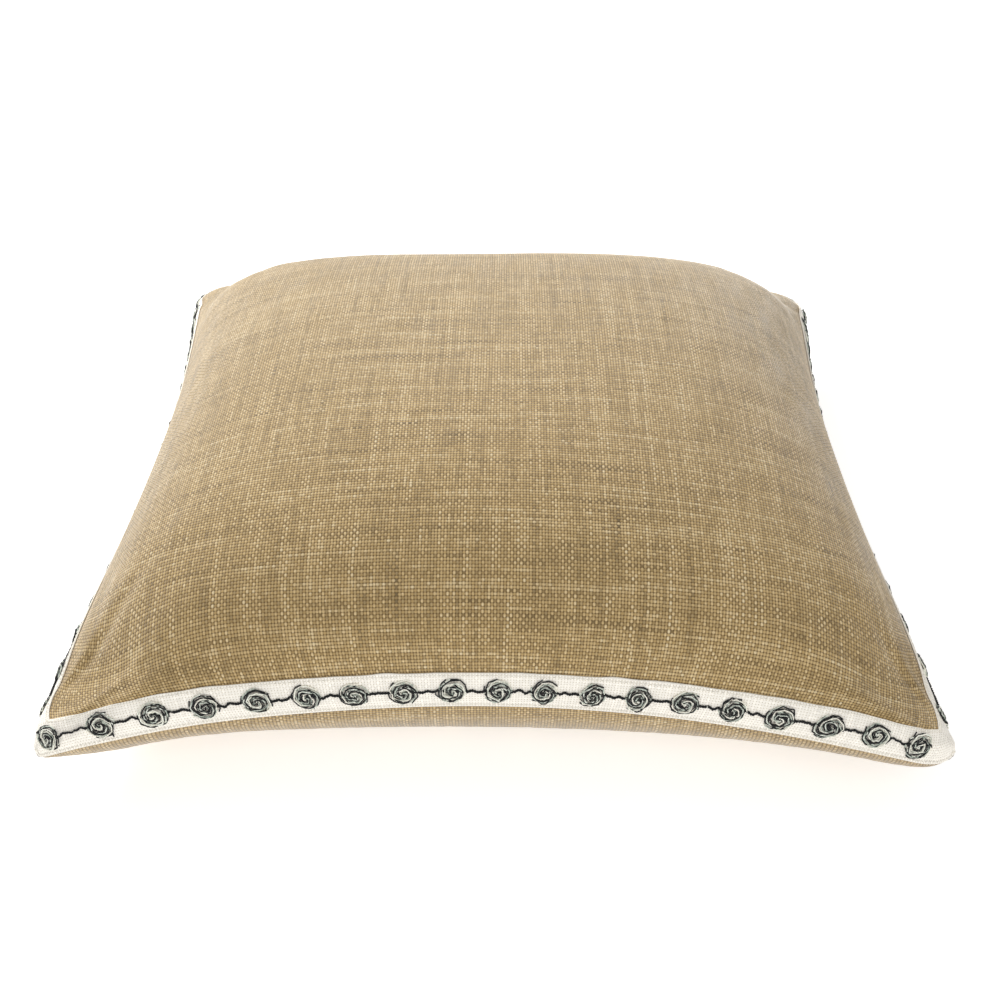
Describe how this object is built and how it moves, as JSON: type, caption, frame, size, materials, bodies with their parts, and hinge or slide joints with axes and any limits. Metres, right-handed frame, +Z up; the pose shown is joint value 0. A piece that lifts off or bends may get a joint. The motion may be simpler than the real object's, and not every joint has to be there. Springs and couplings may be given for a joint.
{
  "type": "floor cushion",
  "caption": "Square knife-edge floor cushion with a crowned top, a pale trim band with raised rosettes round its edge, and a zip near the back of the underside.",
  "frame": {"origin": "middle of the resting face, on the floor", "axes": "+Z up, front edge towards -Y, zip near the back edge at +Y"},
  "size_m": [0.6032, 0.6032, 0.18],
  "materials": {
    "cover_cloth": "matte slub basket weave",
    "trim_cloth": "matte fine woven braid",
    "rosette_yarn": "matte wound yarn, mixed dark and pale strands",
    "sewing_thread": "satin thread",
    "zip_tape": "matte herringbone tape",
    "zip_nylon": "semi-gloss nylon",
    "zip_metal": "brushed antique brass",
    "casing_cloth": "matte calico",
    "fibre_filling": "soft polyester fibre"
  },
  "bodies": {
    "cover": {"top_panel": "cover_cloth", "bottom_panel_main": "cover_cloth", "bottom_panel_back": "cover_cloth", "trim_band_front": "trim_cloth", "trim_band_right": "trim_cloth", "trim_band_back": "trim_cloth", "trim_band_left": "trim_cloth", "band_thread_outer": "sewing_thread", "band_thread_inner": "sewing_thread", "rosettes_front": "rosette_yarn", "rosettes_right": "rosette_yarn", "rosettes_back": "rosette_yarn", "rosettes_left": "rosette_yarn", "seam_thread": "sewing_thread", "zip_tape_main": "zip_tape", "zip_tape_back": "zip_tape", "zip_coil_main": "zip_nylon", "zip_coil_back": "zip_nylon", "zip_bottom_stop": "zip_metal", "zip_top_stop_main": "zip_metal", "zip_top_stop_back": "zip_metal", "zip_thread_main": "sewing_thread", "zip_thread_back": "sewing_thread", "insert_casing_top": "casing_cloth", "insert_casing_bottom": "casing_cloth", "insert_filling": "fibre_filling"},
    "slider": {"zip_slider": "zip_metal"},
    "puller": {"zip_puller": "zip_metal"}
  },
  "joints": [
    {"name": "zip_slide", "type": "slide", "parent": "cover", "child": "slider", "axis": [-1, 0, 0], "range_m": [0, 0.344], "deforming": ["zip_coil_main", "zip_coil_back"]},
    {"name": "puller_swing", "type": "hinge", "parent": "slider", "child": "puller", "pos_m": [0.17295, 0.24714, 0.02068], "axis": [0, -0.7431, -0.6691], "range_deg": [0, 175]}
  ]
}
